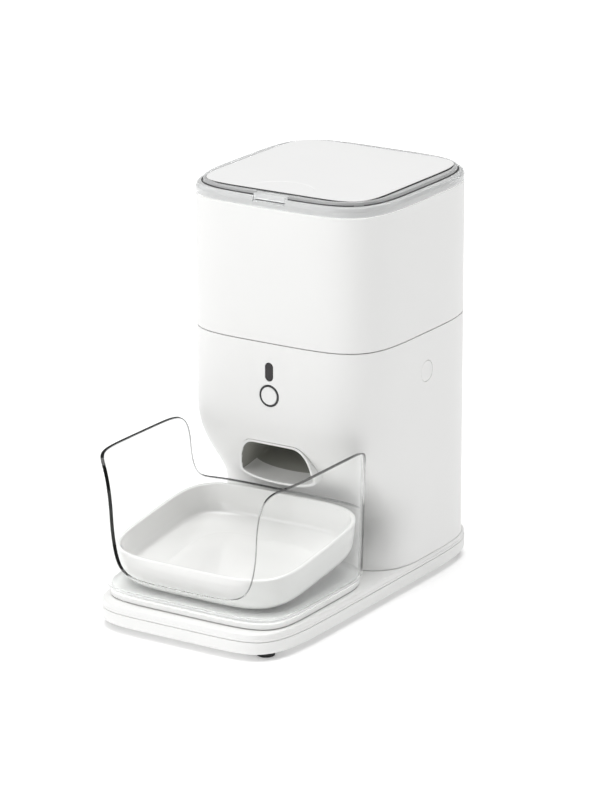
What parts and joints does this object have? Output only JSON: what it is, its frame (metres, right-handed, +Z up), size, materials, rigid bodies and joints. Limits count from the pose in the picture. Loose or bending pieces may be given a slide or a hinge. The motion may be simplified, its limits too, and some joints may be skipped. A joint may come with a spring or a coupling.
{
  "type": "automatic pet feeder",
  "caption": "Automatic dry-food feeder: tower with lift-off hopper, hinged lid and rotor dispenser on a flat base, with a tilted bowl inside a clear guard.",
  "frame": {"origin": "under the middle of the whole part's footprint, on the surface the feet stand on", "axes": "+Z up; -Y is the front, where the bowl is; +X is on the right of someone facing the front"},
  "size_m": [0.1898, 0.3446, 0.3538],
  "materials": {
    "white_shell": "white ABS, fine satin",
    "bowl_glaze": "white glazed ceramic",
    "clear_guard": "clear moulded plastic, polished",
    "clear_lid": "clear moulded plastic, slightly smoky",
    "foot_rubber": "black rubber",
    "window_black": "black infrared window, gloss",
    "socket_black": "black moulded plastic",
    "ring_grey": "dark grey plastic",
    "rotor_silicone": "pale grey food-grade silicone",
    "seal_silicone": "translucent grey silicone",
    "gear_nylon": "natural nylon",
    "bush_brass": "machined brass",
    "shaft_steel": "plain steel",
    "screw_steel": "zinc-plated steel",
    "cell_aluminium": "machined aluminium",
    "board_green": "green solder mask"
  },
  "bodies": {
    "housing": {"base_lower_shell": "white_shell", "base_top_cover": "white_shell", "base_screw_1": "screw_steel", "base_screw_2": "screw_steel", "base_screw_3": "screw_steel", "base_screw_4": "screw_steel", "foot_front_left": "foot_rubber", "foot_front_right": "foot_rubber", "foot_rear_left": "foot_rubber", "foot_rear_right": "foot_rubber", "weighing_platform": "white_shell", "load_cell": "cell_aluminium", "main_body_shell": "white_shell", "rear_cover": "white_shell", "rear_screw_1": "screw_steel", "rear_screw_2": "screw_steel", "rear_screw_3": "screw_steel", "rear_screw_4": "screw_steel", "dc_socket": "socket_black", "outlet_chute": "white_shell", "sensor_window": "window_black", "button_ring": "ring_grey", "control_board": "board_green", "hopper_deck": "white_shell", "rotor_housing": "white_shell", "rotor_bushing_left": "bush_brass", "rotor_bushing_right": "bush_brass", "motor_bracket": "shaft_steel", "drive_motor": "shaft_steel"},
    "guard": {"bowl_guard": "clear_guard", "bowl_rest": "white_shell"},
    "bowl": {"food_bowl": "bowl_glaze"},
    "hopper": {"hopper_shell": "white_shell", "hopper_funnel": "white_shell", "hinge_pin_left": "shaft_steel", "hinge_pin_right": "shaft_steel"},
    "lid": {"lid_frame": "clear_lid", "lid_plate": "white_shell", "lid_seal": "seal_silicone", "desiccant_box": "white_shell"},
    "latch": {"lid_latch": "clear_lid"},
    "feed_button": {"feed_button": "white_shell"},
    "release_left": {"release_button_left": "white_shell"},
    "release_right": {"release_button_right": "white_shell"},
    "rotor": {"dispensing_rotor": "rotor_silicone", "rotor_shaft": "shaft_steel", "rotor_gear": "gear_nylon"},
    "pinion": {"motor_pinion": "bush_brass", "motor_shaft": "shaft_steel"}
  },
  "joints": [
    {"name": "hopper_lift", "type": "slide", "parent": "housing", "child": "hopper", "axis": [0, 0, 1], "range_m": [0, 0.12]},
    {"name": "lid_hinge", "type": "hinge", "parent": "hopper", "child": "lid", "pos_m": [0, 0.1694, 0.3412], "axis": [-1, 0, 0], "range_deg": [0, 100]},
    {"name": "lid_latch_press", "type": "slide", "parent": "lid", "child": "latch", "axis": [0, 0, -1], "range_m": [0, 0.0015], "stiffness_N_per_m": 400, "springref_m": -0.001},
    {"name": "guard_pull", "type": "slide", "parent": "housing", "child": "guard", "axis": [0, -1, 0], "range_m": [0, 0.1]},
    {"name": "bowl_lift", "type": "slide", "parent": "guard", "child": "bowl", "axis": [0, 0, 1], "range_m": [0, 0.008]},
    {"name": "feed_button_press", "type": "slide", "parent": "housing", "child": "feed_button", "axis": [0, 1, 0], "range_m": [0, 0.001], "stiffness_N_per_m": 500, "springref_m": -0.001},
    {"name": "release_left_press", "type": "slide", "parent": "housing", "child": "release_left", "axis": [1, 0, 0], "range_m": [0, 0.002], "stiffness_N_per_m": 600, "springref_m": -0.001},
    {"name": "release_right_press", "type": "slide", "parent": "housing", "child": "release_right", "axis": [-1, 0, 0], "range_m": [0, 0.002], "stiffness_N_per_m": 600, "springref_m": -0.001},
    {"name": "rotor_spin", "type": "hinge", "parent": "housing", "child": "rotor", "pos_m": [0, 0.0644, 0.168], "axis": [1, 0, 0], "continuous": true},
    {"name": "pinion_spin", "type": "hinge", "parent": "housing", "child": "pinion", "pos_m": [0, 0.0644, 0.13175], "axis": [1, 0, 0], "continuous": true}
  ],
  "couplings": [
    {"joint": "pinion_spin", "follows": "rotor_spin", "ratio": -3}
  ]
}
